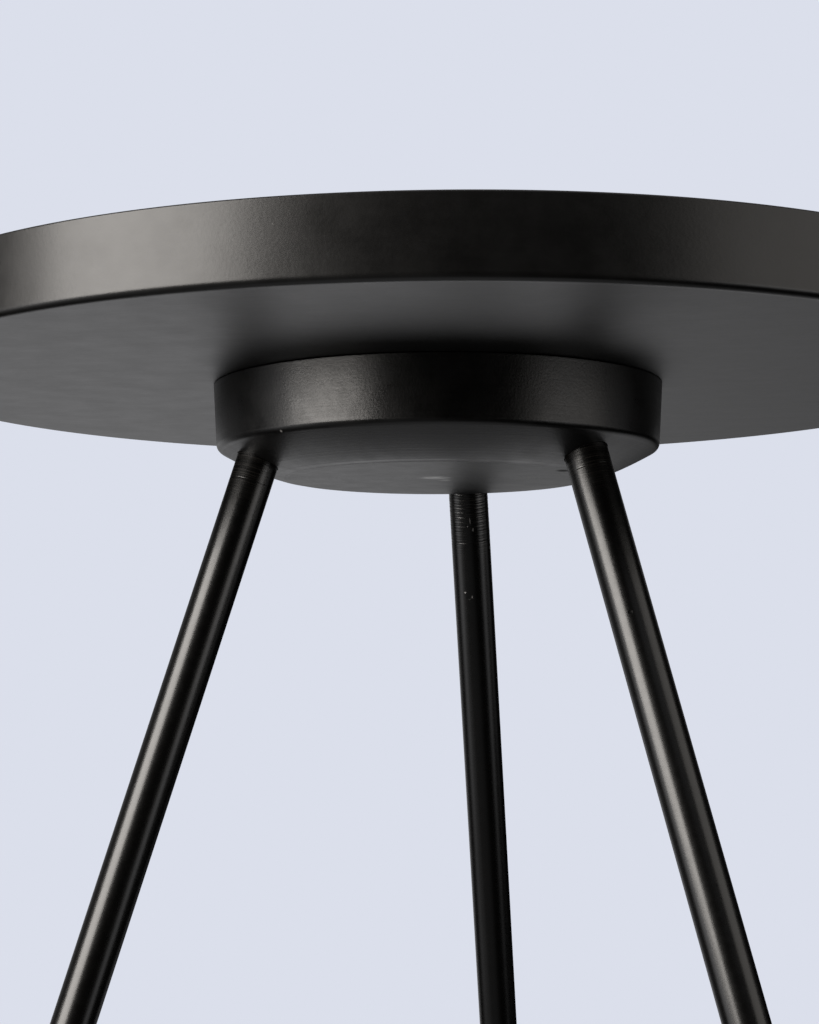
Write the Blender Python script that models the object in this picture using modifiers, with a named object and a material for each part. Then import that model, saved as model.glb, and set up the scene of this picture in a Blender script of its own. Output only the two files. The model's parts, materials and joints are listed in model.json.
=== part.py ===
"""Round side table on three splayed, screw-in legs.

The table stands on the XY plane with its centre line on the Z axis, in metres, +Z up.
A round top carries a turned hub. Inside the hub a steel plate is screwed to the top and
holds three slanted threaded bosses. Each leg is a steel tube with a plug and a stud in its
upper end; the stud screws into a boss, the tube's end sits in a socket in the hub's conical
underside, and a domed glide closes the lower end.
"""

from math import atan2, cos, pi, radians, sin, sqrt, tan

import bmesh
import bpy
from mathutils import Vector

# Whole table
TABLE_HEIGHT = 0.500
TOP_RADIUS = 0.250
TOP_THICKNESS = 0.032
TOP_EDGE_ROUND = 0.0022
FIT_GAP = 0.0003  # clear space kept between pieces that touch on the real table

# Hub: a straight, slightly tapered side, then a shallow cone down to a flat centre
HUB_RADIUS = 0.1015
HUB_LOWER_RADIUS = 0.1000
HUB_SIDE_HEIGHT = 0.029
HUB_DEPTH = 0.042
HUB_FLAT_RADIUS = 0.069
HUB_EDGE_ROUND = 0.0025

# Legs: their axes cross the level of the hub's lower side edge on one circle
LEG_COUNT = 3
FIRST_LEG_ANGLE = radians(90)
LEG_SPLAY = radians(18.1)
LEG_CIRCLE_RADIUS = 0.0815
LEG_RADIUS = 0.0095
LEG_WALL = 0.0015
LEG_INSERTION = 0.0075  # how far a tube's end reaches above its frame's origin
LEG_END_ROUND = 0.0004

# Stud, plug and spring washer in a leg's upper end (M8 thread, 1.25 mm pitch)
STUD_RADIUS = 0.00385
STUD_REACH = 0.0175  # above the tube's end
STUD_IN_PLUG = 0.0150
STUD_CHAMFER = 0.0008
PLUG_LENGTH = 0.0200
WASHER_RADIUS = 0.00725
WASHER_THICKNESS = 0.0020
WASHER_SLIT = 0.0010

# Plate and bosses inside the hub
PLATE_RADIUS = 0.084
PLATE_THICKNESS = 0.003
BOSS_RADIUS = 0.0080

# Countersunk wood screws: three near the rim between the legs, three further in below them
SCREW_CIRCLES = ((0.070, radians(60)), (0.044, 0.0))  # radius, turn from a leg's angle
SCREW_HEAD_RADIUS = 0.0042
SCREW_HEAD_DEPTH = 0.0024
SCREW_RADIUS = 0.0022
SCREW_LENGTH = 0.0230
SCREW_TIP = 0.0040
DRIVE_RADIUS = 0.0020
DRIVE_DEPTH = 0.0015

# Domed glide in a leg's lower end
GLIDE_DOME_RADIUS = 0.0135
GLIDE_HEAD_HEIGHT = 0.0030
GLIDE_PLUG_LENGTH = 0.0150
GLIDE_PLUG_TIP = 0.0015

# Sides of the round pieces
TOP_SEGMENTS = 96
HUB_SEGMENTS = 72
PLATE_SEGMENTS = 48
TUBE_SEGMENTS = 24
SMALL_SEGMENTS = 16
SHARP_ANGLE = radians(28)

# Levels worked out from the dimensions above
UNDERSIDE = TABLE_HEIGHT - TOP_THICKNESS
HUB_TOP = UNDERSIDE - FIT_GAP
HUB_EDGE = UNDERSIDE - HUB_SIDE_HEIGHT
PLATE_BOTTOM = HUB_TOP - PLATE_THICKNESS
RECESS_FLOOR = PLATE_BOTTOM - FIT_GAP
LEG_BORE_RADIUS = LEG_RADIUS - LEG_WALL
BOLT_HOLE_RADIUS = STUD_RADIUS + FIT_GAP
BOSS_END = LEG_INSERTION + WASHER_THICKNESS + 2 * FIT_GAP
DOME_OFFSET = sqrt(GLIDE_DOME_RADIUS**2 - LEG_RADIUS**2)
FOOT_CENTRE = -(HUB_EDGE - GLIDE_DOME_RADIUS) / cos(LEG_SPLAY)
GLIDE_HEAD_TOP = FOOT_CENTRE - DOME_OFFSET + GLIDE_HEAD_HEIGHT
LEG_BOTTOM = GLIDE_HEAD_TOP + FIT_GAP


def clear_scene():
    """Remove the objects that the scene starts with."""
    for obj in list(bpy.data.objects):
        bpy.data.objects.remove(obj, do_unlink=True)


def new_collection(name):
    """A collection of its own for the parts or for the cutters."""
    collection = bpy.data.collections.new(name)
    bpy.context.scene.collection.children.link(collection)
    return collection


def make_material(name, colour, roughness, metallic=0.0):
    """A plain Principled material."""
    material = bpy.data.materials.new(name)
    material.use_nodes = True
    shader = material.node_tree.nodes["Principled BSDF"]
    shader.inputs["Base Color"].default_value = (*colour, 1.0)
    shader.inputs["Roughness"].default_value = roughness
    shader.inputs["Metallic"].default_value = metallic
    return material


def rounded(corners, steps=3):
    """An outline of (radius, height) points in which a corner given as (radius, height, round)
    is replaced by an arc that touches both of its neighbouring lines."""
    points = []
    for index, corner in enumerate(corners):
        here = Vector(corner[:2])
        size = corner[2] if len(corner) > 2 else 0.0
        if size == 0.0:
            points.append(here)
            continue
        back = (Vector(corners[index - 1][:2]) - here).normalized()
        ahead = (Vector(corners[(index + 1) % len(corners)][:2]) - here).normalized()
        half = back.angle(ahead) / 2
        centre = here + (back + ahead).normalized() * size / sin(half)
        start = here + back * size / tan(half) - centre
        end = here + ahead * size / tan(half) - centre
        first = atan2(start.y, start.x)
        turn = (atan2(end.y, end.x) - first + pi) % (2 * pi) - pi
        for step in range(steps + 1):
            angle = first + turn * step / steps
            points.append(centre + Vector((cos(angle), sin(angle))) * size)
    return points


def turned_mesh(name, outline, segments, ring=False):
    """A turned solid. The outline runs down its outer side; a ring's outline closes on itself."""
    profile = bpy.data.meshes.new(name + "_profile")
    edges = [(i, i + 1) for i in range(len(outline) - 1)]
    if ring:
        edges.append((len(outline) - 1, 0))
    profile.from_pydata([(p[0], 0.0, p[1]) for p in outline], edges, [])
    holder = bpy.data.objects.new(name + "_profile", profile)
    bpy.context.scene.collection.objects.link(holder)
    screw = holder.modifiers.new("Turn", "SCREW")
    screw.steps = segments
    screw.render_steps = segments
    screw.use_merge_vertices = True
    screw.merge_threshold = 0.00001
    bpy.context.view_layer.update()
    evaluated = holder.evaluated_get(bpy.context.evaluated_depsgraph_get())
    mesh = bpy.data.meshes.new_from_object(evaluated)
    mesh.name = name
    mesh.shade_smooth()
    mesh.set_sharp_from_angle(angle=SHARP_ANGLE)
    bpy.data.objects.remove(holder, do_unlink=True)
    bpy.data.meshes.remove(profile)
    return mesh


def prism_mesh(name, sides, radius, low, high):
    """An upright prism between two heights."""
    mesh = bpy.data.meshes.new(name)
    builder = bmesh.new()
    bmesh.ops.create_cone(
        builder, cap_ends=True, segments=sides, radius1=radius, radius2=radius, depth=high - low
    )
    bmesh.ops.translate(builder, verts=builder.verts, vec=(0, 0, (low + high) / 2))
    builder.to_mesh(mesh)
    builder.free()
    return mesh


def box_mesh(name, size, centre):
    """A box with these side lengths."""
    mesh = bpy.data.meshes.new(name)
    builder = bmesh.new()
    bmesh.ops.create_cube(builder, size=1.0)
    bmesh.ops.scale(builder, verts=builder.verts, vec=size)
    bmesh.ops.translate(builder, verts=builder.verts, vec=centre)
    builder.to_mesh(mesh)
    builder.free()
    return mesh


def place(name, mesh, material, collection, parent=None, location=(0, 0, 0)):
    """One named part."""
    obj = bpy.data.objects.new(name, mesh)
    collection.objects.link(obj)
    obj.parent = parent
    obj.location = location
    if not mesh.materials:
        mesh.materials.append(material)
    return obj


def place_cutter(name, mesh, collection, parent=None, location=(0, 0, 0)):
    """A cutter, shown as wire and left out of the finished object."""
    obj = bpy.data.objects.new(name, mesh)
    collection.objects.link(obj)
    obj.parent = parent
    obj.location = location
    obj.display_type = "WIRE"
    obj.hide_render = True
    return obj


def cut(obj, cutter):
    """Take the cutter's shape out of a part."""
    boolean = obj.modifiers.new("Cut_" + cutter.name, "BOOLEAN")
    boolean.operation = "DIFFERENCE"
    boolean.solver = "EXACT"
    boolean.object = cutter


def leg_angle(number):
    """Direction of a leg around the table, seen from above."""
    return FIRST_LEG_ANGLE + 2 * pi * (number - 1) / LEG_COUNT


def make_leg_frame(number, collection):
    """An empty on a leg's axis, its +Z pointing up the leg and its +X outwards."""
    frame = bpy.data.objects.new(f"leg_{number}_frame", None)
    collection.objects.link(frame)
    angle = leg_angle(number)
    frame.location = (LEG_CIRCLE_RADIUS * cos(angle), LEG_CIRCLE_RADIUS * sin(angle), HUB_EDGE)
    frame.rotation_euler = (0, -LEG_SPLAY, angle)
    return frame


def screw_places():
    """Centre of each plate screw's head, on two circles."""
    places = []
    for radius, turn in SCREW_CIRCLES:
        for number in range(1, LEG_COUNT + 1):
            angle = leg_angle(number) + turn
            places.append((radius * cos(angle), radius * sin(angle), PLATE_BOTTOM))
    return places


def make_top(material, parts, cutters):
    """The round top, with a blind pilot hole above each plate screw."""
    outline = rounded([
        (0.0, TABLE_HEIGHT),
        (TOP_RADIUS, TABLE_HEIGHT, TOP_EDGE_ROUND),
        (TOP_RADIUS, UNDERSIDE, TOP_EDGE_ROUND),
        (0.0, UNDERSIDE),
    ])
    top = place("table_top", turned_mesh("table_top", outline, TOP_SEGMENTS), material, parts)
    hole_depth = PLATE_THICKNESS + SCREW_LENGTH
    hole = prism_mesh("pilot_hole", 12, SCREW_RADIUS + FIT_GAP, 0.0, hole_depth)
    for index, centre in enumerate(screw_places(), start=1):
        cut(top, place_cutter(f"pilot_hole_{index}", hole, cutters, location=centre))


def make_hub(material, parts, cutters, frames):
    """The turned hub, hollowed for the plate and bored for each boss and leg."""
    recess_radius = PLATE_RADIUS + FIT_GAP
    outline = rounded([
        (0.0, RECESS_FLOOR),
        (recess_radius, RECESS_FLOOR),
        (recess_radius, HUB_TOP),
        (HUB_RADIUS, HUB_TOP),
        (HUB_LOWER_RADIUS, HUB_EDGE, HUB_EDGE_ROUND),
        (HUB_FLAT_RADIUS, UNDERSIDE - HUB_DEPTH),
        (0.0, UNDERSIDE - HUB_DEPTH),
    ])
    hub = place("hub", turned_mesh("hub", outline, HUB_SEGMENTS), material, parts)
    socket_radius = LEG_RADIUS + FIT_GAP
    boss_bore_radius = BOSS_RADIUS + FIT_GAP
    socket_end = BOSS_END - FIT_GAP
    above_hub = HUB_DEPTH
    below_hub = -HUB_DEPTH
    socket = turned_mesh("leg_socket", [
        (0.0, above_hub),
        (boss_bore_radius, above_hub),
        (boss_bore_radius, socket_end),
        (socket_radius, socket_end),
        (socket_radius, below_hub),
        (0.0, below_hub),
    ], TUBE_SEGMENTS)
    for number, frame in enumerate(frames, start=1):
        cut(hub, place_cutter(f"leg_socket_{number}", socket, cutters, parent=frame))


def make_plate(material, parts, cutters):
    """The steel plate that is screwed to the top's underside, countersunk from below."""
    outline = [
        (0.0, HUB_TOP),
        (PLATE_RADIUS, HUB_TOP),
        (PLATE_RADIUS, PLATE_BOTTOM),
        (0.0, PLATE_BOTTOM),
    ]
    mesh = turned_mesh("mounting_plate", outline, PLATE_SEGMENTS)
    plate = place("mounting_plate", mesh, material, parts)
    through = PLATE_THICKNESS + FIT_GAP
    countersink = turned_mesh("countersink", [
        (0.0, through),
        (SCREW_RADIUS + FIT_GAP, through),
        (SCREW_RADIUS + FIT_GAP, SCREW_HEAD_DEPTH),
        (SCREW_HEAD_RADIUS + FIT_GAP, FIT_GAP),
        (SCREW_HEAD_RADIUS + FIT_GAP, -FIT_GAP),
        (0.0, -FIT_GAP),
    ], SMALL_SEGMENTS)
    for index, centre in enumerate(screw_places(), start=1):
        cut(plate, place_cutter(f"countersink_{index}", countersink, cutters, location=centre))


def make_screws(material, parts, cutters):
    """The countersunk wood screws, heads down, each with a hexagonal drive recess."""
    outline = [
        (0.0, SCREW_LENGTH),
        (SCREW_RADIUS, SCREW_LENGTH - SCREW_TIP),
        (SCREW_RADIUS, SCREW_HEAD_DEPTH),
        (SCREW_HEAD_RADIUS, FIT_GAP),
        (SCREW_HEAD_RADIUS, 0.0),
        (0.0, 0.0),
    ]
    drive = prism_mesh("drive_recess", 6, DRIVE_RADIUS, -DRIVE_DEPTH, DRIVE_DEPTH)
    mesh = turned_mesh("plate_screw", outline, SMALL_SEGMENTS)
    for index, centre in enumerate(screw_places(), start=1):
        screw = place(f"plate_screw_{index}", mesh, material, parts, location=centre)
        cut(screw, place_cutter(f"drive_recess_{index}", drive, cutters, parent=screw))


def make_bosses(material, parts, cutters, frames):
    """The threaded bosses welded under the plate, each cut level with it."""
    above_plate = HUB_DEPTH
    outline = [
        (BOLT_HOLE_RADIUS, above_plate),
        (BOSS_RADIUS, above_plate),
        (BOSS_RADIUS, BOSS_END),
        (BOLT_HOLE_RADIUS, BOSS_END),
    ]
    mesh = turned_mesh("threaded_boss", outline, TUBE_SEGMENTS, ring=True)
    slab_size = 2 * PLATE_RADIUS + HUB_DEPTH
    slab = box_mesh("plate_level", (slab_size, slab_size, 2 * HUB_DEPTH), (0, 0, HUB_DEPTH))
    level = place_cutter("plate_level", slab, cutters, location=(0, 0, RECESS_FLOOR))
    for number, frame in enumerate(frames, start=1):
        boss = place(f"threaded_boss_{number}", mesh, material, parts, parent=frame)
        cut(boss, level)


def tube_mesh():
    """A leg's tube, open at both ends."""
    return turned_mesh("leg_tube", rounded([
        (LEG_BORE_RADIUS, LEG_INSERTION),
        (LEG_RADIUS, LEG_INSERTION, LEG_END_ROUND),
        (LEG_RADIUS, LEG_BOTTOM),
        (LEG_BORE_RADIUS, LEG_BOTTOM),
    ], steps=1), TUBE_SEGMENTS, ring=True)


def plug_mesh():
    """The threaded plug fixed in a tube's upper end."""
    radius = LEG_BORE_RADIUS - FIT_GAP
    return turned_mesh("leg_plug", [
        (BOLT_HOLE_RADIUS, LEG_INSERTION),
        (radius, LEG_INSERTION),
        (radius, LEG_INSERTION - PLUG_LENGTH),
        (BOLT_HOLE_RADIUS, LEG_INSERTION - PLUG_LENGTH),
    ], TUBE_SEGMENTS, ring=True)


def stud_mesh():
    """The stud that stands out of a plug, with chamfered ends."""
    high = LEG_INSERTION + STUD_REACH
    low = LEG_INSERTION - STUD_IN_PLUG
    return turned_mesh("leg_stud", [
        (0.0, high),
        (STUD_RADIUS - STUD_CHAMFER, high),
        (STUD_RADIUS, high - STUD_CHAMFER),
        (STUD_RADIUS, low + STUD_CHAMFER),
        (STUD_RADIUS - STUD_CHAMFER, low),
        (0.0, low),
    ], SMALL_SEGMENTS)


def glide_mesh():
    """A domed glide. One ring of the dome lies straight below its centre when the leg leans,
    so the glide meets the floor at its full radius."""
    plug_radius = LEG_BORE_RADIUS - FIT_GAP
    plug_top = GLIDE_HEAD_TOP + GLIDE_PLUG_LENGTH
    head_bottom = GLIDE_HEAD_TOP - GLIDE_HEAD_HEIGHT
    outline = [
        (0.0, plug_top),
        (plug_radius - GLIDE_PLUG_TIP, plug_top),
        (plug_radius, plug_top - GLIDE_PLUG_TIP),
        (plug_radius, GLIDE_HEAD_TOP),
        (LEG_RADIUS, GLIDE_HEAD_TOP),
        (LEG_RADIUS, head_bottom),
    ]
    for halves in (4, 3, 2, 1, 0):
        angle = halves * LEG_SPLAY / 2
        depth = GLIDE_DOME_RADIUS * cos(angle)
        outline.append((GLIDE_DOME_RADIUS * sin(angle), FOOT_CENTRE - depth))
    return turned_mesh("leg_glide", outline, TUBE_SEGMENTS)


def washer_mesh():
    """The split spring washer between a leg's end and its boss."""
    low = LEG_INSERTION + FIT_GAP
    return turned_mesh("leg_washer", [
        (BOLT_HOLE_RADIUS, low + WASHER_THICKNESS),
        (WASHER_RADIUS, low + WASHER_THICKNESS),
        (WASHER_RADIUS, low),
        (BOLT_HOLE_RADIUS, low),
    ], SMALL_SEGMENTS, ring=True)


def make_legs(materials, parts, cutters, frames):
    """The legs' pieces. Every leg is the same, so each kind of piece shares one mesh."""
    kinds = (
        ("tube", tube_mesh(), materials["leg_paint"]),
        ("plug", plug_mesh(), materials["steel"]),
        ("stud", stud_mesh(), materials["zinc"]),
        ("glide", glide_mesh(), materials["glide"]),
    )
    washer = washer_mesh()
    slit_size = (2 * WASHER_RADIUS, WASHER_SLIT, 2 * WASHER_THICKNESS)
    slit = box_mesh("washer_slit", slit_size, (WASHER_RADIUS, 0, BOSS_END - WASHER_THICKNESS / 2))
    for number, frame in enumerate(frames, start=1):
        for kind, mesh, material in kinds:
            place(f"leg_{number}_{kind}", mesh, material, parts, parent=frame)
        name = f"leg_{number}_washer"
        split = place(name, washer, materials["zinc"], parts, parent=frame)
        cut(split, place_cutter(f"washer_slit_{number}", slit, cutters, parent=frame))


def main():
    """Build the whole table."""
    clear_scene()
    parts = new_collection("tripod_side_table")
    cutters = new_collection("cutters")
    materials = {
        "lacquer": make_material("black_lacquer", (0.022, 0.021, 0.020), 0.42),
        "leg_paint": make_material("black_leg_paint", (0.016, 0.015, 0.014), 0.34),
        "steel": make_material("plain_steel", (0.50, 0.49, 0.48), 0.38, metallic=1.0),
        "zinc": make_material("zinc_plating", (0.62, 0.61, 0.58), 0.32, metallic=1.0),
        "glide": make_material("glide_plastic", (0.020, 0.020, 0.021), 0.55),
    }
    frames = [make_leg_frame(number, parts) for number in range(1, LEG_COUNT + 1)]
    make_top(materials["lacquer"], parts, cutters)
    make_hub(materials["lacquer"], parts, cutters, frames)
    make_plate(materials["steel"], parts, cutters)
    make_screws(materials["zinc"], parts, cutters)
    make_bosses(materials["steel"], parts, cutters, frames)
    make_legs(materials, parts, cutters, frames)


main()
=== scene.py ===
"""Looks of the round side table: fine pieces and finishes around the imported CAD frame.

Turned pieces share the table's centre line, the Z axis. Each leg's pieces share a leg frame, made
from that leg's hinge, with +Z up the leg and +X outwards. Lengths are metres, the floor is z = 0.
"""

import json
from math import asin, atan2, cos, pi, radians, sin, tan

import bmesh
import bpy
from mathutils import Matrix, Vector


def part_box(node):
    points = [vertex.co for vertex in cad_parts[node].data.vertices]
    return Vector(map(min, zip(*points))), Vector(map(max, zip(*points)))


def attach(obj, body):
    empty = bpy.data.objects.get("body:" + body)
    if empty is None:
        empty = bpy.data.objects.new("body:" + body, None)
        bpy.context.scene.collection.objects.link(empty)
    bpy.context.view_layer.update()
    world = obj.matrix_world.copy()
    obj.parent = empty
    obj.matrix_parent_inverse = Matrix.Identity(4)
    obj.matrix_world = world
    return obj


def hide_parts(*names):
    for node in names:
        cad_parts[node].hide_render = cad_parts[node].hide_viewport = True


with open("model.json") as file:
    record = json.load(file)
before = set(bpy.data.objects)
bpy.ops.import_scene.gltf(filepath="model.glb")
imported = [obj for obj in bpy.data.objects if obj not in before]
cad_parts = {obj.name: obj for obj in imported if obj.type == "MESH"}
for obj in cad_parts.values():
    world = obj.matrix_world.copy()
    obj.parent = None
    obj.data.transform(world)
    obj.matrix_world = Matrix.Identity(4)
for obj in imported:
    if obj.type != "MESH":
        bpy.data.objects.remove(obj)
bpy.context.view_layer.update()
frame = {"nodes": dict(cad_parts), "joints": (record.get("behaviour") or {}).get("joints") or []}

LEGS = (1, 2, 3)
FIT_GAP = 0.0003  # clear space between pieces that touch on the real table

# Turned wooden pieces
LACQUER = (0.0022, 0.0021, 0.0020, 1.0)
LACQUER_WORN = (0.0036, 0.0034, 0.0032, 1.0)
TOP_UPPER_ROUND = 0.0008
TOP_LOWER_ROUND = 0.0030
HUB_LOWER_RADIUS = 0.1000
HUB_EDGE_ROUND = 0.0035
HUB_FLAT_RADIUS = 0.0690
HUB_CONE_CURVE = 1.35  # the cone eases out towards the flat: 1 is straight
HUB_CONE_STEPS = 12
HUB_BEAD = 0.00025  # the fine ridge around the hub's flat centre stands out by this much
HUB_BEAD_WIDTH = 0.0012
HUB_BEAD_EASE = 0.0080  # inside the ridge, the flat settles over this distance
# near-white colour painted on the hub's flat as a highlight streak
PAINTED_HIGHLIGHT_MARK = (0.8500, 0.8400, 0.8200, 1.0)
FAINT_MARK = (0.3500, 0.3400, 0.3300, 1.0)
SCRAPE_MARK = (0.0600, 0.0590, 0.0580, 1.0)
DARK_MARK = (0.0002, 0.0002, 0.0002, 1.0)
HUB_MARKS = (  # centre with its height above the flat, half size, angle, colour, added roughness
    # painted highlight: a pale streak at the flat's centre
    ((-0.0003, -0.0030, 0.0), (0.0090, 0.0075, 0.0030), radians(10), PAINTED_HIGHLIGHT_MARK, 0.0),
    ((0.0024, 0.0085, 0.0), (0.0040, 0.0050, 0.0030), radians(10), FAINT_MARK, 0.0),
    ((0.0603, -0.0205, 0.0), (0.0040, 0.0070, 0.0030), radians(10), DARK_MARK, 0.5),
    ((-0.0510, -0.0850, 0.0125), (0.0009, 0.0009, 0.0011), 0.0, FAINT_MARK, 0.0),
    ((0.0852, -0.0495, 0.0120), (0.0024, 0.0008, 0.0012), radians(60), SCRAPE_MARK, 0.1),
)
PILOT_RADIUS = 0.0025
PILOT_DEPTH = 0.0260
UNDERSIDE_DULLER = 0.09  # added to the lacquers' roughness where they face down

# Legs
TUBE_WALL = 0.0015
TUBE_END_ROUND = 0.0004
WEAR_PITCHES = (0.00280, 0.00125)  # coarse and fine rings, left by turning the legs
WEAR_LENGTH = {1: 0.0340, 2: 0.0110, 3: 0.0150}  # how far the rings reach below the socket
WEAR_DEPTH = {1: 0.000060, 2: 0.000010, 3: 0.000006}
SCORE_PLACE = {1: 0.0262, 2: 0.0105, 3: 0.0080}  # one deeper ring, below the socket
SCORE_DEPTH = {1: 0.00010, 2: 0.00005, 3: 0.00006}
SCORE_WIDTH = 0.0006
# pale colour painted on some nicks as the highlight on the dent's rim
NICK_PAINTED_HIGHLIGHT = (0.1600, 0.1550, 0.1500, 1.0)
DARK_NICK = (0.0002, 0.0002, 0.0002, 1.0)
NICKS = (  # distance below the socket, angle round the leg, half width and length, colour
    # dents, bumped in; the pale ones are painted with a highlight, the dark ones are darker than the
    # paint
    (0.0150, radians(190), (0.0004, 0.0022), NICK_PAINTED_HIGHLIGHT),
    (0.0172, radians(181), (0.0006, 0.0013), DARK_NICK),
    (0.0195, radians(198), (0.0004, 0.0012), NICK_PAINTED_HIGHLIGHT),
    (0.0510, radians(163), (0.0009, 0.0005), NICK_PAINTED_HIGHLIGHT),
    (0.0534, radians(184), (0.0006, 0.0009), NICK_PAINTED_HIGHLIGHT),
    (0.0540, radians(174), (0.0013, 0.0010), DARK_NICK),
    (0.0742, radians(-57), (0.0012, 0.0011), DARK_NICK),
)

# Stud thread: M8, coarse
THREAD_PITCH = 0.00125
THREAD_DEPTH = 0.00070
THREAD_ROWS = (0.0, 0.25, 0.5625, 0.6875)  # root, root, crest, crest, in pitches
STUD_CHAMFER = 0.0010

# Domed glide in a leg's lower end
GLIDE_DOME_RADIUS = 0.0135
GLIDE_HEAD_HEIGHT = 0.0030
GLIDE_LIP = 0.0003
GLIDE_PLUG_LENGTH = 0.0150
GLIDE_PLUG_TIP = 0.0015
GLIDE_RIB = 0.00025
GLIDE_RIB_PITCH = 0.0030

# Fineness of the meshes
TOP_SIDES = 288
HUB_SIDES = 192
TUBE_SIDES = 72
STUD_SIDES = 48
RING_SPACING = 0.012
HOLD = 0.0004  # an extra ring this far from each rounded edge keeps flat faces flat
SHARP_ANGLE = radians(28)
WELD = 0.000002  # points nearer than this are one point

# Camera: low, near the table, looking up at the underside
CAMERA_DISTANCE = 1.0105
CAMERA_HEIGHT = 0.3170
CAMERA_AZIMUTH = radians(10.55)
CAMERA_YAW = radians(-4.65)
CAMERA_PITCH = radians(5.30)
CAMERA_ROLL = radians(0.35)
CAMERA_LENS = 78.34
CAMERA_SHIFT = 0.15
SENSOR_SIDE = 36.0

# Studio
BACKDROP_COLOUR = (0.7084, 0.7379, 0.8308)
WALL_COLOUR = (0.98, 0.98, 1.0, 1.0)
WALL_GLOWS = (  # azimuth, elevation, where it starts to fade and where it ends, in degrees; strength
    (-176, -34, 6, 27, 0.88),  # low behind: the hub's cone and flat
    (-161, -9, 4, 24, 0.38),  # behind, to the left: the top's underside
    (-140, 8, 6, 36, 0.17),  # behind, far left: the left ends of the rim and hub
    (-80, -8, 4, 22, 1.10),  # left: the middle leg's left edge
    (-80, -32, 8, 30, 0.20),  # left, low: the same edge further down
    (-25, -38, 8, 40, 0.09),  # in front, low: the middle leg's face
    (150, -34, 4, 24, 0.42),  # behind, to the right, low: the right end of the hub's cone
    (100, 0, 3, 16, 0.25),  # right: the right leg's right edge
    (67, -11, 4, 17, 0.85),  # right, low: the legs' second highlights
    (0, 90, 15, 62, 0.55),  # overhead: the upper face
    (165, 28, 6, 34, 0.30),  # behind, high: the upper face, seen from the front
    (20, 46, 6, 28, 0.32),  # in front, high: the upper face, seen from behind
    (0, -90, 8, 38, 0.34),  # straight below: the rounded lower edges
)
SOFTBOXES = {  # azimuth, distance and height of the centre, width, length, power in watts
    "softbox_left": (radians(-55.5), 2.2, 1.02, 1.65, 1.70, 78.0),
    "softbox_right": (radians(68), 2.2, 0.90, 1.75, 1.75, 10.0),
}
SOFTBOX_AIM = Vector((0.0, 0.0, 0.42))
LAMP_COLOUR = (1.0, 0.955, 0.905)
FLOOR_COLOUR = (0.66, 0.68, 0.74)
FLOOR_GLOW = 0.20  # keeps the floor nearly as pale as the backdrop
FLOOR_RADIUS = 1.30
FLOOR_SOLID_RADIUS = 0.62


# ---------------------------------------------------------------- shapes


def rounded(corners, steps=8):
    """An outline of (radius, height) points in which a corner given as (radius, height, round)
    is replaced by an arc that touches both of its neighbouring lines."""
    points = []
    for index, corner in enumerate(corners):
        here = Vector(corner[:2])
        size = corner[2] if len(corner) > 2 else 0.0
        if size == 0.0:
            points.append(here)
            continue
        back = (Vector(corners[index - 1][:2]) - here).normalized()
        ahead = (Vector(corners[(index + 1) % len(corners)][:2]) - here).normalized()
        half = back.angle(ahead) / 2
        centre = here + (back + ahead).normalized() * size / sin(half)
        start = here + back * size / tan(half) - centre
        end = here + ahead * size / tan(half) - centre
        first = atan2(start.y, start.x)
        turn = (atan2(end.y, end.x) - first + pi) % (2 * pi) - pi
        for step in range(steps + 1):
            angle = first + turn * step / steps
            points.append(centre + Vector((cos(angle), sin(angle))) * size)
    return points


def filled(outline, spacing=RING_SPACING):
    """The outline with more points on its long lines: one near each end, and the rest spaced out."""
    points = [outline[0]]
    for start, end in zip(outline, outline[1:]):
        line = end - start
        if line.length > 4 * HOLD:
            hold = line.normalized() * HOLD
            inner = line - 2 * hold
            count = max(1, round(inner.length / spacing))
            points += [start + hold + inner * step / count for step in range(count + 1)]
        points.append(end)
    return points


def turned_mesh(name, outline, sides, ring=False):
    """A turned solid. Its outline goes from the top down the outside, and a ring's outline closes
    on itself."""
    builder = bmesh.new()
    rows = []
    for radius, height in outline:
        count = sides if radius > 0 else 1
        angles = [2 * pi * index / sides for index in range(count)]
        rows.append([
            builder.verts.new((radius * cos(angle), radius * sin(angle), height))
            for angle in angles
        ])
    pairs = list(zip(rows, rows[1:]))
    if ring:
        pairs.append((rows[-1], rows[0]))
    for upper, lower in pairs:
        for here in range(sides):
            there = (here + 1) % sides
            corners = [
                upper[here % len(upper)],
                lower[here % len(lower)],
                lower[there % len(lower)],
                upper[there % len(upper)],
            ]
            builder.faces.new(list(dict.fromkeys(corners)))
    return finished_mesh(name, builder)


def finished_mesh(name, builder):
    """A smooth-shaded mesh from a bmesh, with its real edges kept sharp."""
    mesh = bpy.data.meshes.new(name)
    builder.to_mesh(mesh)
    builder.free()
    mesh.shade_smooth()
    mesh.set_sharp_from_angle(angle=SHARP_ANGLE)
    return mesh


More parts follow.
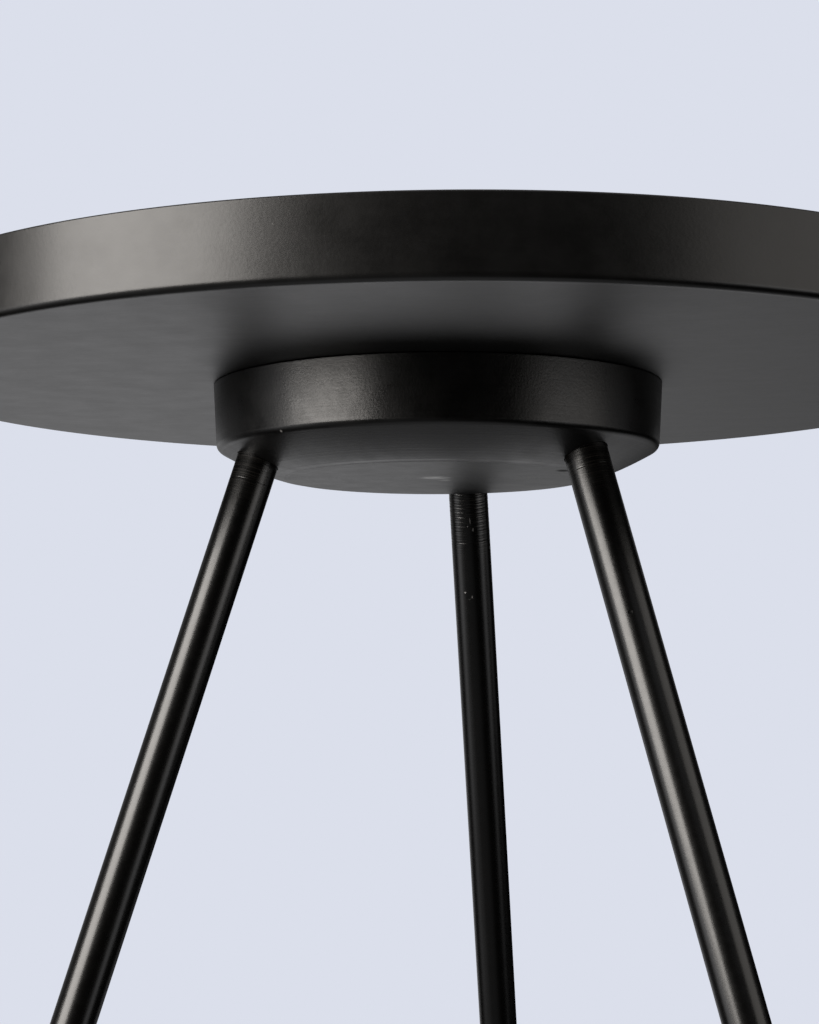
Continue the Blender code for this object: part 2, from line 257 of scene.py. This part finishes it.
def threaded_mesh(name, low, high, radius, sides):
    """A rod with a right-hand thread and chamfered ends. Each row of points follows the helix,
    and rows beyond an end close up on the end's own circle."""
    rows_a_turn = len(THREAD_ROWS)
    turns = int((high - low) / THREAD_PITCH) + 3
    builder = bmesh.new()
    rows = []
    for row in range(turns * rows_a_turn):
        turn, phase = divmod(row, rows_a_turn)
        thread_radius = radius if phase >= rows_a_turn // 2 else radius - THREAD_DEPTH
        points = []
        for side in range(sides):
            rise = turn - 1 + THREAD_ROWS[phase] + side / sides
            height = min(max(low + rise * THREAD_PITCH, low), high)
            to_end = min(height - low, high - height)
            reach = min(thread_radius, radius - STUD_CHAMFER + to_end)
            angle = 2 * pi * side / sides
            points.append(builder.verts.new((reach * cos(angle), reach * sin(angle), height)))
        rows.append(points)
    for row in range(len(rows) - rows_a_turn - 1):
        for side in range(sides):
            last = side == sides - 1
            lower_next = rows[row + rows_a_turn][0] if last else rows[row][side + 1]
            upper_next = rows[row + rows_a_turn + 1][0] if last else rows[row + 1][side + 1]
            builder.faces.new((rows[row][side], lower_next, upper_next, rows[row + 1][side]))
    bmesh.ops.remove_doubles(builder, verts=builder.verts, dist=WELD)
    loose = [vert for vert in builder.verts if not vert.link_faces]
    bmesh.ops.delete(builder, geom=loose, context="VERTS")
    bmesh.ops.holes_fill(builder, edges=builder.edges, sides=0)
    bmesh.ops.recalc_face_normals(builder, faces=builder.faces)
    return finished_mesh(name, builder)


def worn_radius(below, radius, leg):
    """A tube's radius at a distance below its socket: worn rings, and one deeper score."""
    fade = min(1.0, max(0.0, 1.5 - 1.5 * below / WEAR_LENGTH[leg]))
    wander = 1.4 * sin(below * 400 + leg) + 0.9 * sin(below * 1700 + 2 * leg)  # uneven spacing
    ripple = 0.0
    for pitch in WEAR_PITCHES:
        ripple += 0.5 - 0.5 * cos(2 * pi * below / pitch + wander)
    score = max(0.0, 1.0 - abs(below - SCORE_PLACE[leg]) / (SCORE_WIDTH / 2))
    return radius - WEAR_DEPTH[leg] * fade * ripple - SCORE_DEPTH[leg] * score


def tube_outline(leg, low, high, radius, mouth):
    """A leg tube's section, from its upper end down the outside and back up the bore."""
    bore = radius - TUBE_WALL
    points = rounded([(bore, high), (radius, high, TUBE_END_ROUND), (radius, low)], 4)[:-1]
    wear_end = mouth - WEAR_LENGTH[leg]
    step = min(WEAR_PITCHES) / 8
    count = int((high - TUBE_END_ROUND - wear_end) / step)
    for index in range(1, count + 1):
        height = high - TUBE_END_ROUND - index * step
        points.append(Vector((worn_radius(mouth - height, radius, leg), height)))
    rest = [Vector((radius, wear_end - HOLD)), Vector((radius, low)), Vector((bore, low))]
    return points + filled(rest[:2]) + rest[2:]


def glide_outline(low, radius):
    """A glide's section: ribbed plug, flange and dome. The flange is as wide as the tube."""
    dome_centre = low + GLIDE_DOME_RADIUS
    dome_angle = asin((radius - GLIDE_LIP) / GLIDE_DOME_RADIUS)
    flange_low = dome_centre - GLIDE_DOME_RADIUS * cos(dome_angle)
    flange_high = flange_low + GLIDE_HEAD_HEIGHT
    plug_high = flange_high + GLIDE_PLUG_LENGTH
    plug_radius = radius - TUBE_WALL - FIT_GAP
    points = [
        Vector((0.0, plug_high)),
        Vector((plug_radius - GLIDE_PLUG_TIP, plug_high)),
        Vector((plug_radius - GLIDE_RIB, plug_high - GLIDE_PLUG_TIP)),
    ]
    ribs = int((GLIDE_PLUG_LENGTH - 2 * GLIDE_PLUG_TIP) / GLIDE_RIB_PITCH)
    for rib in range(ribs):
        start = plug_high - GLIDE_PLUG_TIP - rib * GLIDE_RIB_PITCH
        points.append(Vector((plug_radius, start - GLIDE_RIB_PITCH * 0.6)))
        points.append(Vector((plug_radius - GLIDE_RIB, start - GLIDE_RIB_PITCH * 0.7)))
    points += [
        Vector((plug_radius - GLIDE_RIB, flange_high)),
        Vector((radius - GLIDE_LIP, flange_high)),
        Vector((radius, flange_high - GLIDE_LIP)),
        Vector((radius, flange_low + GLIDE_LIP)),
    ]
    steps = 14
    for step in range(steps, -1, -1):
        angle = dome_angle * step / steps
        depth = GLIDE_DOME_RADIUS * cos(angle)
        points.append(Vector((GLIDE_DOME_RADIUS * sin(angle), dome_centre - depth)))
    return points


# ---------------------------------------------------------------- placing


def leg_frame(leg):
    """A leg's own frame, from its hinge in the record."""
    hinge = next(j for j in frame["joints"] if j["name"] == f"leg_{leg}_turn")
    origin = Vector(hinge["pos_m"])
    up = -Vector(hinge["axis"])
    outward = Vector((origin.x, origin.y, 0.0))
    across = up.cross(outward).normalized()
    outward = across.cross(up)
    turn = Matrix((outward, across, up)).transposed().to_4x4()
    return Matrix.Translation(origin) @ turn


def along_leg(node, leg):
    """Lowest and highest point and radius of a CAD node, in its leg's frame."""
    to_leg = leg_frame(leg).inverted()
    points = [to_leg @ vertex.co for vertex in frame["nodes"][node].data.vertices]
    heights = [point.z for point in points]
    return min(heights), max(heights), max(point.xy.length for point in points)


def cone_height(radius):
    """The hub's underside at a radius between its flat centre and its lower edge."""
    edge = leg_frame(LEGS[0]).translation.z
    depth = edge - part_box("hub")[0].z
    outward = (radius - HUB_FLAT_RADIUS) / (HUB_LOWER_RADIUS - HUB_FLAT_RADIUS)
    return edge - depth * (1.0 - outward ** HUB_CONE_CURVE)


def socket_mouth():
    """Where a leg's axis leaves the hub's underside, as a height in the leg's frame."""
    matrix = leg_frame(LEGS[0])
    high = 0.0
    low = -HUB_FLAT_RADIUS
    for _ in range(20):
        middle = (high + low) / 2
        point = matrix @ Vector((0.0, 0.0, middle))
        radius = min(point.xy.length, HUB_LOWER_RADIUS)
        if point.z > cone_height(radius):
            high = middle
        else:
            low = middle
    return middle


def place(name, mesh, material, body, node, slot, matrix=None):
    """One piece that rides on a body, stands for a CAD node and takes the given finish. The slot
    argument is not used.
    """
    piece = bpy.data.objects.new(name, mesh)
    bpy.context.scene.collection.objects.link(piece)
    mesh.materials.clear()
    mesh.materials.append(material)
    if matrix is not None:
        piece.matrix_world = matrix
    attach(piece, body)
    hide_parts(node)
    return piece


def cut(mesh, cutters):
    """The mesh with the cutters' shapes taken out. Each cutter is a (mesh, matrix) pair."""
    holder = bpy.data.objects.new("uncut", mesh)
    bpy.context.scene.collection.objects.link(holder)
    made = [holder]
    for cutter_mesh, matrix in cutters:
        cutter = bpy.data.objects.new("cutter", cutter_mesh)
        bpy.context.scene.collection.objects.link(cutter)
        cutter.matrix_world = matrix
        made.append(cutter)
        boolean = holder.modifiers.new("Cut", "BOOLEAN")
        boolean.operation = "DIFFERENCE"
        boolean.solver = "EXACT"
        boolean.object = cutter
    bpy.context.view_layer.update()
    evaluated = holder.evaluated_get(bpy.context.evaluated_depsgraph_get())
    result = bpy.data.meshes.new_from_object(evaluated)
    for obj in made:
        bpy.data.objects.remove(obj, do_unlink=True)
    builder = bmesh.new()
    builder.from_mesh(result)
    bmesh.ops.remove_doubles(builder, verts=builder.verts, dist=WELD)
    bmesh.ops.dissolve_degenerate(builder, edges=builder.edges, dist=WELD)
    many_sided = [face for face in builder.faces if len(face.verts) > 4]
    bmesh.ops.triangulate(builder, faces=many_sided)
    return finished_mesh(result.name, builder)


# ---------------------------------------------------------------- pieces


def make_top(material):
    """The round top, with a pilot hole above each plate screw."""
    low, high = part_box("table_top")
    outline = filled(rounded([
        (0.0, high.z),
        (high.x, high.z, TOP_UPPER_ROUND),
        (high.x, low.z, TOP_LOWER_ROUND),
        (0.0, low.z),
    ]))
    hole = turned_mesh("pilot_hole", [
        (0.0, low.z + PILOT_DEPTH),
        (PILOT_RADIUS, low.z + PILOT_DEPTH),
        (PILOT_RADIUS, low.z - PILOT_RADIUS),
        (0.0, low.z - PILOT_RADIUS),
    ], 16)
    holes = []
    for node in sorted(name for name in frame["nodes"] if name.startswith("plate_screw")):
        centre = sum(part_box(node), Vector()) / 2
        holes.append((hole, Matrix.Translation((centre.x, centre.y, 0.0))))
    mesh = cut(turned_mesh("top", outline, TOP_SIDES), holes)
    return place("top", mesh, material, "root", "table_top", "top_lacquer")


def make_hub(material):
    """The turned hub: tapered side, shallow crowned cone and flat centre, with a fine bead
    between."""
    low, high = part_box("hub")
    plate_low, plate_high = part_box("mounting_plate")
    edge = leg_frame(LEGS[0]).translation.z
    recess_radius = plate_high.x + FIT_GAP
    recess_floor = plate_low.z - FIT_GAP
    bead = HUB_FLAT_RADIUS + HUB_BEAD_WIDTH
    cone = []
    for step in range(1, HUB_CONE_STEPS):
        radius = HUB_LOWER_RADIUS + (bead - HUB_LOWER_RADIUS) * step / HUB_CONE_STEPS
        cone.append((radius, cone_height(radius)))
    outline = filled(rounded([
        (0.0, recess_floor),
        (recess_radius, recess_floor),
        (recess_radius, high.z),
        (high.x, high.z, FIT_GAP),
        (HUB_LOWER_RADIUS, edge, HUB_EDGE_ROUND),
        *cone,
        (bead, cone_height(bead) + HUB_BEAD),
        (HUB_FLAT_RADIUS, low.z, HUB_BEAD_WIDTH / 3),
        (HUB_FLAT_RADIUS - HUB_BEAD_EASE, low.z + HUB_BEAD, HUB_BEAD_WIDTH),
        (0.0, low.z + HUB_BEAD),
    ]))
    tube_radius = along_leg("leg_1_tube", 1)[2] + FIT_GAP
    boss_low, boss_high, boss_radius = along_leg("threaded_boss_1", 1)
    above = high.z - low.z
    socket = turned_mesh("leg_socket", [
        (0.0, above),
        (boss_radius + FIT_GAP, above),
        (boss_radius + FIT_GAP, boss_low - FIT_GAP),
        (tube_radius, boss_low - FIT_GAP),
        (tube_radius, -above),
        (0.0, -above),
    ], TUBE_SIDES)
    mesh = cut(turned_mesh("hub_body", outline, HUB_SIDES), [
        (socket, leg_frame(leg)) for leg in LEGS
    ])
    return place("hub_body", mesh, material, "root", "hub", "hub_lacquer")


def make_leg(leg, paint, zinc, plastic):
    """One leg's tube, stud and glide."""
    matrix = leg_frame(leg)
    body = f"leg_{leg}"
    low, high, radius = along_leg(f"leg_{leg}_tube", leg)
    outline = tube_outline(leg, low, high, radius, socket_mouth())
    tube = turned_mesh(f"tube_{leg}", outline, TUBE_SIDES, ring=True)
    place(f"tube_{leg}", tube, paint, body, f"leg_{leg}_tube", "leg_paint", matrix)
    low, high, radius = along_leg(f"leg_{leg}_stud", leg)
    stud = threaded_mesh(f"stud_{leg}", low, high, radius, STUD_SIDES)
    place(f"stud_{leg}", stud, zinc, body, f"leg_{leg}_stud", "zinc_plating", matrix)
    low, high, radius = along_leg(f"leg_{leg}_glide", leg)
    glide = turned_mesh(f"glide_{leg}", glide_outline(low, radius), TUBE_SIDES)
    place(f"glide_{leg}", glide, plastic, body, f"leg_{leg}_glide", "glide_plastic", matrix)


# ---------------------------------------------------------------- finishes


def add_node(tree, kind, inputs=None, **settings):
    """One shader node. Its inputs are values, or other nodes' outputs to link from."""
    node = tree.nodes.new(kind)
    for name, value in settings.items():
        setattr(node, name, value)
    for socket, value in (inputs or {}).items():
        if isinstance(value, bpy.types.NodeSocket):
            tree.links.new(value, node.inputs[socket])
        else:
            node.inputs[socket].default_value = value
    return node


def new_finish(name, colour, roughness, **constants):
    """A material with one Principled shader. Returns the material, its tree and the shader. The
    finishes then link patterns over the colour and the roughness."""
    material = bpy.data.materials.new(name)
    material.use_nodes = True
    tree = material.node_tree
    shader = tree.nodes["Principled BSDF"]
    shader.inputs["Base Color"].default_value = (*colour, 1.0)
    shader.inputs["Roughness"].default_value = roughness
    for socket, value in constants.items():
        shader.inputs[socket.replace("_", " ")].default_value = value
    return material, tree, shader


def calc(tree, operation, first, second):
    """A Math node's output."""
    return add_node(tree, "ShaderNodeMath", {0: first, 1: second}, operation=operation).outputs[0]


def remap(tree, value, low, high, to_low=0.0, to_high=1.0, smooth=False):
    """The value's range low..high stretched to to_low..to_high, and held there beyond."""
    inputs = {"Value": value, "From Min": low, "From Max": high, "To Min": to_low, "To Max": to_high}
    kind = "SMOOTHSTEP" if smooth else "LINEAR"
    node = add_node(tree, "ShaderNodeMapRange", inputs, interpolation_type=kind, clamp=True)
    return node.outputs["Result"]


def mixed(tree, factor, first, second):
    """A colour between two colours."""
    node = add_node(tree, "ShaderNodeMix", {0: factor, 6: first, 7: second}, data_type="RGBA")
    return node.outputs[2]


def stretched(tree, place, scale):
    """Coordinates scaled along each axis, for a pattern that is longer one way."""
    inputs = {0: place, 1: scale}
    return add_node(tree, "ShaderNodeVectorMath", inputs, operation="MULTIPLY").outputs[0]


def cloud(tree, place, scale, detail=2.0, roughness=0.5):
    """Soft 3-D noise, about 0.3 to 0.7."""
    inputs = {"Vector": place, "Scale": scale, "Detail": detail, "Roughness": roughness}
    return add_node(tree, "ShaderNodeTexNoise", inputs).outputs["Fac"]


def lines(tree, distance, scale, detail=3.0):
    """Noise that varies along one distance only, so it draws lines across it."""
    inputs = {"W": distance, "Scale": scale, "Detail": detail}
    node = add_node(tree, "ShaderNodeTexNoise", inputs, noise_dimensions="1D")
    return node.outputs["Fac"]


def specks(tree, place, scale, size, share):
    """Small round dots: 1 inside a dot, 0 elsewhere. Only a share of the cells has one."""
    node = add_node(tree, "ShaderNodeTexVoronoi", {"Vector": place, "Scale": scale})
    inside = remap(tree, node.outputs["Distance"], size, size * 0.6)
    chosen = calc(tree, "LESS_THAN", node.outputs["Color"], share)
    return calc(tree, "MULTIPLY", inside, chosen)


def scuff_and_glint(tree, place, centre, size, angle):
    """A soft oval mark on a surface: 1 at its centre. It shapes real scrapes and dents, and painted
    highlights too. Size is its half length, width and depth.
    """
    inputs = {"Vector": place, "Location": centre, "Rotation": (0.0, 0.0, angle), "Scale": size}
    oval = add_node(tree, "ShaderNodeMapping", inputs, vector_type="TEXTURE").outputs[0]
    away = add_node(tree, "ShaderNodeVectorMath", {0: oval}, operation="LENGTH").outputs["Value"]
    return remap(tree, away, 1.0, 0.25, smooth=True)


def bumped(tree, shader, layers):
    """Chains bump layers, each (height, depth in metres), into the shader's normal."""
    normal = None
    for height, depth in layers:
        inputs = {"Height": height, "Strength": 1.0, "Distance": depth}
        if normal is not None:
            inputs["Normal"] = normal
        normal = add_node(tree, "ShaderNodeBump", inputs).outputs["Normal"]
    tree.links.new(normal, shader.inputs["Normal"])


def object_place(tree):
    """Coordinates fixed to the piece, in metres."""
    return add_node(tree, "ShaderNodeTexCoord").outputs["Object"]


def centre_distance(tree, place):
    """Distance from the piece's own Z axis."""
    flat = stretched(tree, place, (1.0, 1.0, 0.0))
    return add_node(tree, "ShaderNodeVectorMath", {0: flat}, operation="LENGTH").outputs["Value"]


def top_lacquer():
    """Satin black lacquer over straight-grained wood: faint grain, orange peel, dust and smudges."""
    dust = (0.0500, 0.0490, 0.0480, 1.0)
    material, tree, shader = new_finish("black_lacquer_top", LACQUER[:3], 0.4, IOR=1.5)
    place = object_place(tree)
    grain = cloud(tree, stretched(tree, place, (12.0, 420.0, 420.0)), 1.0, 3.0)
    smudge = cloud(tree, place, 55.0, 5.0, 0.7)
    peel = cloud(tree, place, 220.0)
    fine = cloud(tree, place, 700.0)
    dots = specks(tree, place, 160.0, 0.06, 0.12)
    tone = mixed(tree, remap(tree, smudge, 0.35, 0.7), LACQUER, LACQUER_WORN)
    tree.links.new(mixed(tree, dots, tone, dust), shader.inputs["Base Color"])
    height = add_node(tree, "ShaderNodeSeparateXYZ", {0: place}).outputs["Z"]
    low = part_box("table_top")[0].z
    gloss = calc(tree, "ADD", remap(tree, smudge, 0.35, 0.65, 0.300, 0.345),
                 remap(tree, grain, 0.3, 0.7, -0.007, 0.007))
    gloss = calc(tree, "ADD", gloss, remap(tree, height, low + 0.001, low, 0.0, UNDERSIDE_DULLER))
    tree.links.new(gloss, shader.inputs["Roughness"])
    bumped(tree, shader, [(peel, 0.000009), (fine, 0.000024), (grain, 0.0000015)])
    return material


def hub_lacquer():
    """The same lacquer over turned wood: fine turning lines, denser near the hub's lower edge."""
    dust = (0.0300, 0.0295, 0.0290, 1.0)
    material, tree, shader = new_finish("black_lacquer_hub", LACQUER[:3], 0.4, IOR=1.5)
    place = object_place(tree)
    height = add_node(tree, "ShaderNodeSeparateXYZ", {0: place}).outputs["Z"]
    around = calc(tree, "ADD", centre_distance(tree, place), height)
    turning = lines(tree, around, 900.0, 4.0)
    patches = cloud(tree, place, 40.0, 3.0)
    smudge = cloud(tree, place, 70.0, 5.0, 0.7)
    peel = cloud(tree, place, 220.0)
    fine = cloud(tree, place, 900.0, 3.0)
    dots = specks(tree, place, 200.0, 0.07, 0.12)
    tone = mixed(tree, remap(tree, smudge, 0.35, 0.7), LACQUER, LACQUER_WORN)
    tone = mixed(tree, dots, tone, dust)
    flat_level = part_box("hub")[0].z
    marked = 0.0
    # Marks on the hub: the first is a painted highlight streak on the flat, the rest are coloured
    # marks.
    for centre, size, angle, colour, duller in HUB_MARKS:
        lifted = (centre[0], centre[1], flat_level + centre[2])
        mark = scuff_and_glint(tree, place, lifted, size, angle)
        broken = calc(tree, "MULTIPLY", mark, remap(tree, peel, 0.35, 0.6, 0.5, 1.0))
        tone = mixed(tree, broken, tone, colour)
        marked = calc(tree, "MAXIMUM", marked, calc(tree, "MULTIPLY", broken, duller))
    tree.links.new(tone, shader.inputs["Base Color"])
    edge = leg_frame(LEGS[0]).translation.z
    gloss = calc(tree, "ADD", remap(tree, smudge, 0.35, 0.65, 0.285, 0.360),
                 remap(tree, turning, 0.3, 0.7, -0.015, 0.015))
    gloss = calc(tree, "ADD", gloss, remap(tree, height, edge, edge - 0.002, 0.0, UNDERSIDE_DULLER))
    gloss = calc(tree, "ADD", gloss, marked)
    tree.links.new(gloss, shader.inputs["Roughness"])
    near_edge = remap(tree, height, edge + 0.011, edge + 0.003, 0.15, 1.0)
    turned = calc(tree, "MULTIPLY", turning, calc(tree, "MULTIPLY", patches, near_edge))
    bumped(tree, shader, [(peel, 0.000010), (fine, 0.000048), (turned, 0.000060)])
    return material


def leg_paint():
    """Semi-gloss black paint on a drawn tube: faint draw lines, a few nicks, and wear near the
    socket where the leg turns. The pale nicks carry a painted highlight on the dent."""
    black = (0.0013, 0.0012, 0.0011, 1.0)
    rubbed = (0.0550, 0.0480, 0.0420, 1.0)
    material, tree, shader = new_finish("black_leg_paint", black[:3], 0.27, IOR=1.58)
    place = object_place(tree)
    height = add_node(tree, "ShaderNodeSeparateXYZ", {0: place}).outputs["Z"]
    drawn = cloud(tree, stretched(tree, place, (600.0, 600.0, 8.0)), 1.0)
    patches = cloud(tree, place, 260.0, 4.0, 0.6)
    peel = cloud(tree, place, 500.0)
    near_socket = remap(tree, height, -0.030, -0.006, 0.0, 1.0)
    rings = remap(tree, lines(tree, height, 1400.0), 0.48, 0.62)
    wear = calc(tree, "MULTIPLY", near_socket, calc(tree, "MULTIPLY", rings, patches))
    dots = specks(tree, place, 260.0, 0.07, 0.06)
    tone = mixed(tree, calc(tree, "MULTIPLY", wear, 0.6), black, rubbed)
    tone = mixed(tree, dots, tone, rubbed)
    radius = along_leg("leg_1_tube", 1)[2]
    mouth = socket_mouth()
    nicked = 0.0
    # Nicks: dents in the bump, and on the pale ones a painted highlight.
    for below, angle, (half_width, half_length), colour in NICKS:
        centre = (radius * cos(angle), radius * sin(angle), mouth - below)
        size = (half_width, half_width, half_length)
        nick = scuff_and_glint(tree, place, centre, size, angle)
        tone = mixed(tree, nick, tone, colour)
        nicked = calc(tree, "MAXIMUM", nicked, nick)
    tree.links.new(tone, shader.inputs["Base Color"])
    gloss = calc(tree, "ADD", remap(tree, patches, 0.3, 0.7, 0.25, 0.29),
                 calc(tree, "MULTIPLY", wear, 0.12))
    tree.links.new(gloss, shader.inputs["Roughness"])
    dented = calc(tree, "SUBTRACT", 1.0, nicked)
    bumped(tree, shader, [(peel, 0.000007), (drawn, 0.000006), (dented, 0.000120)])
    return material


def plain_steel():
    """Rolled and turned steel, lightly oiled: brushed lines, darker patches, a few rust freckles."""
    bright = (0.46, 0.45, 0.44, 1.0)
    oiled = (0.27, 0.26, 0.245, 1.0)
    rust = (0.16, 0.075, 0.035, 1.0)
    material, tree, shader = new_finish("plain_steel", bright[:3], 0.38, Metallic=1.0)
    place = object_place(tree)
    brushed = cloud(tree, stretched(tree, place, (30.0, 1400.0, 900.0)), 1.0, 3.0)
    patches = cloud(tree, place, 60.0, 4.0, 0.6)
    freckles = specks(tree, place, 300.0, 0.16, 0.05)
    tone = mixed(tree, remap(tree, patches, 0.4, 0.65), bright, oiled)
    tree.links.new(mixed(tree, freckles, tone, rust), shader.inputs["Base Color"])
    gloss = calc(tree, "ADD", remap(tree, patches, 0.3, 0.7, 0.30, 0.46),
                 remap(tree, brushed, 0.3, 0.7, -0.04, 0.04))
    tree.links.new(gloss, shader.inputs["Roughness"])
    bumped(tree, shader, [(brushed, 0.000012)])
    return material


def zinc_plating():
    """Bright zinc: a fine crystalline mottle and slightly dulled patches."""
    bright = (0.62, 0.62, 0.60, 1.0)
    dull = (0.42, 0.42, 0.40, 1.0)
    material, tree, shader = new_finish("zinc_plating", bright[:3], 0.3, Metallic=1.0)
    place = object_place(tree)
    patches = cloud(tree, place, 220.0, 4.0, 0.6)
    crystals = add_node(tree, "ShaderNodeTexVoronoi", {"Vector": place, "Scale": 1600.0})
    fine = crystals.outputs["Distance"]
    tone = mixed(tree, remap(tree, patches, 0.4, 0.65), bright, dull)
    tree.links.new(tone, shader.inputs["Base Color"])
    gloss = remap(tree, patches, 0.3, 0.7, 0.22, 0.42)
    tree.links.new(gloss, shader.inputs["Roughness"])
    bumped(tree, shader, [(fine, 0.000008)])
    return material


def glide_plastic():
    """Black polyethylene with a fine moulded texture, scuffed where it meets the floor."""
    black = (0.0160, 0.0160, 0.0165, 1.0)
    scuffed = (0.0550, 0.0540, 0.0530, 1.0)
    material, tree, shader = new_finish("glide_plastic", black[:3], 0.55, IOR=1.5)
    place = object_place(tree)
    moulded = cloud(tree, place, 1500.0, 2.0)
    scratches = cloud(tree, stretched(tree, place, (900.0, 120.0, 300.0)), 1.0, 4.0)
    radius = centre_distance(tree, place)
    contact = remap(tree, radius, 0.0075, 0.0035)
    rubbed = calc(tree, "MULTIPLY", contact, remap(tree, scratches, 0.48, 0.62))
    tree.links.new(mixed(tree, rubbed, black, scuffed), shader.inputs["Base Color"])
    gloss = calc(tree, "ADD", remap(tree, moulded, 0.3, 0.7, 0.50, 0.60),
                 calc(tree, "MULTIPLY", rubbed, 0.15))
    tree.links.new(gloss, shader.inputs["Roughness"])
    bumped(tree, shader, [(moulded, 0.000020), (scratches, 0.000010)])
    return material


def dress_cad_nodes(steel, zinc):
    """Finishes for the pieces inside the hub, which keep their CAD shape."""
    for name, node in frame["nodes"].items():
        if node.hide_render:
            continue
        is_steel = name.startswith(("mounting_plate", "threaded_boss")) or name.endswith("plug")
        node.data.materials.clear()
        node.data.materials.append(steel if is_steel else zinc)


# ---------------------------------------------------------------- studio


def make_floor():
    """A pale floor disc under the table that fades out into the backdrop. The table's finishes
    reflect the studio's walls instead of it."""
    mesh = turned_mesh("floor", [Vector((FLOOR_RADIUS, 0.0)), Vector((0.0, 0.0))], 96)
    mesh.flip_normals()
    floor = bpy.data.objects.new("floor", mesh)
    bpy.context.scene.collection.objects.link(floor)
    material, tree, shader = new_finish("floor_paint", FLOOR_COLOUR, 0.7)
    place = object_place(tree)
    grain = cloud(tree, place, 60.0, 4.0)
    shade = mixed(tree, grain, (*FLOOR_COLOUR, 1.0), (*[c * 0.96 for c in FLOOR_COLOUR], 1.0))
    tree.links.new(shade, shader.inputs["Base Color"])
    away = centre_distance(tree, place)
    fade = remap(tree, away, FLOOR_SOLID_RADIUS, FLOOR_RADIUS, 1.0, 0.0, smooth=True)
    tree.links.new(fade, shader.inputs["Alpha"])
    shader.inputs["Emission Color"].default_value = (*BACKDROP_COLOUR, 1.0)
    shader.inputs["Emission Strength"].default_value = FLOOR_GLOW
    mesh.materials.append(material)
    floor.visible_glossy = False
    floor.visible_diffuse = False


def direction(azimuth, elevation):
    """A direction from the table, its azimuth measured from the camera's side, to the left
    where it is negative."""
    turn = CAMERA_AZIMUTH + azimuth
    level = cos(elevation)
    return Vector((sin(turn) * level, -cos(turn) * level, sin(elevation)))


def make_world():
    """A pale backdrop for the camera, and dim studio walls in the reflections."""
    world = bpy.data.worlds.new("studio")
    bpy.context.scene.world = world
    world.use_nodes = True
    tree = world.node_tree
    tree.nodes.clear()
    backdrop = add_node(tree, "ShaderNodeBackground", {"Color": (*BACKDROP_COLOUR, 1.0)})
    seen = add_node(tree, "ShaderNodeTexCoord").outputs["Generated"]
    glow = 0.0
    for *angles, strength in WALL_GLOWS:
        azimuth, elevation, inner, outer = (radians(angle) for angle in angles)
        towards = direction(azimuth, elevation)
        facing = add_node(tree, "ShaderNodeVectorMath", {0: seen, 1: towards},
                          operation="DOT_PRODUCT").outputs["Value"]
        part = remap(tree, facing, cos(outer), cos(inner), 0.0, strength, smooth=True)
        glow = calc(tree, "ADD", glow, part)
    walls = add_node(tree, "ShaderNodeBackground", {"Color": WALL_COLOUR, "Strength": glow})
    camera_ray = add_node(tree, "ShaderNodeLightPath").outputs["Is Camera Ray"]
    mix = add_node(tree, "ShaderNodeMixShader", {
        0: camera_ray,
        1: walls.outputs[0],
        2: backdrop.outputs[0],
    })
    add_node(tree, "ShaderNodeOutputWorld", {"Surface": mix.outputs[0]})


def make_softbox(name, azimuth, distance, height, width, length, power):
    """A large area light that faces the hub."""
    light = bpy.data.lights.new(name, "AREA")
    light.shape = "RECTANGLE"
    light.size = width
    light.size_y = length
    light.energy = power
    light.color = LAMP_COLOUR
    lamp = bpy.data.objects.new(name, light)
    bpy.context.scene.collection.objects.link(lamp)
    lamp.location = direction(azimuth, 0.0) * distance + Vector((0.0, 0.0, height))
    aim = SOFTBOX_AIM - lamp.location
    lamp.rotation_euler = aim.to_track_quat("-Z", "Y").to_euler()
    lamp.visible_camera = False


def make_camera():
    """The camera, with its tilt and a slight roll."""
    camera = bpy.data.cameras.new("camera")
    camera.sensor_width = SENSOR_SIDE
    camera.lens = CAMERA_LENS
    camera.shift_x = CAMERA_SHIFT
    camera.clip_start = 0.01
    holder = bpy.data.objects.new("camera", camera)
    bpy.context.scene.collection.objects.link(holder)
    around = Matrix.Rotation(CAMERA_AZIMUTH, 4, "Z")
    stand = Matrix.Translation((0.0, -CAMERA_DISTANCE, CAMERA_HEIGHT))
    aim = (
        Matrix.Rotation(-CAMERA_YAW, 4, "Z")
        @ Matrix.Rotation(pi / 2 + CAMERA_PITCH, 4, "X")
        @ Matrix.Rotation(CAMERA_ROLL, 4, "Z")
    )
    holder.matrix_world = around @ stand @ aim
    bpy.context.scene.camera = holder


def main():
    """Dress the frame, then light and look at it."""
    steel = plain_steel()
    zinc = zinc_plating()
    paint = leg_paint()
    plastic = glide_plastic()
    make_top(top_lacquer())
    make_hub(hub_lacquer())
    for leg in LEGS:
        make_leg(leg, paint, zinc, plastic)
    dress_cad_nodes(steel, zinc)
    make_floor()
    make_world()
    for name, settings in SOFTBOXES.items():
        make_softbox(name, *settings)
    make_camera()
    bpy.context.scene.view_settings.view_transform = "Standard"


main()
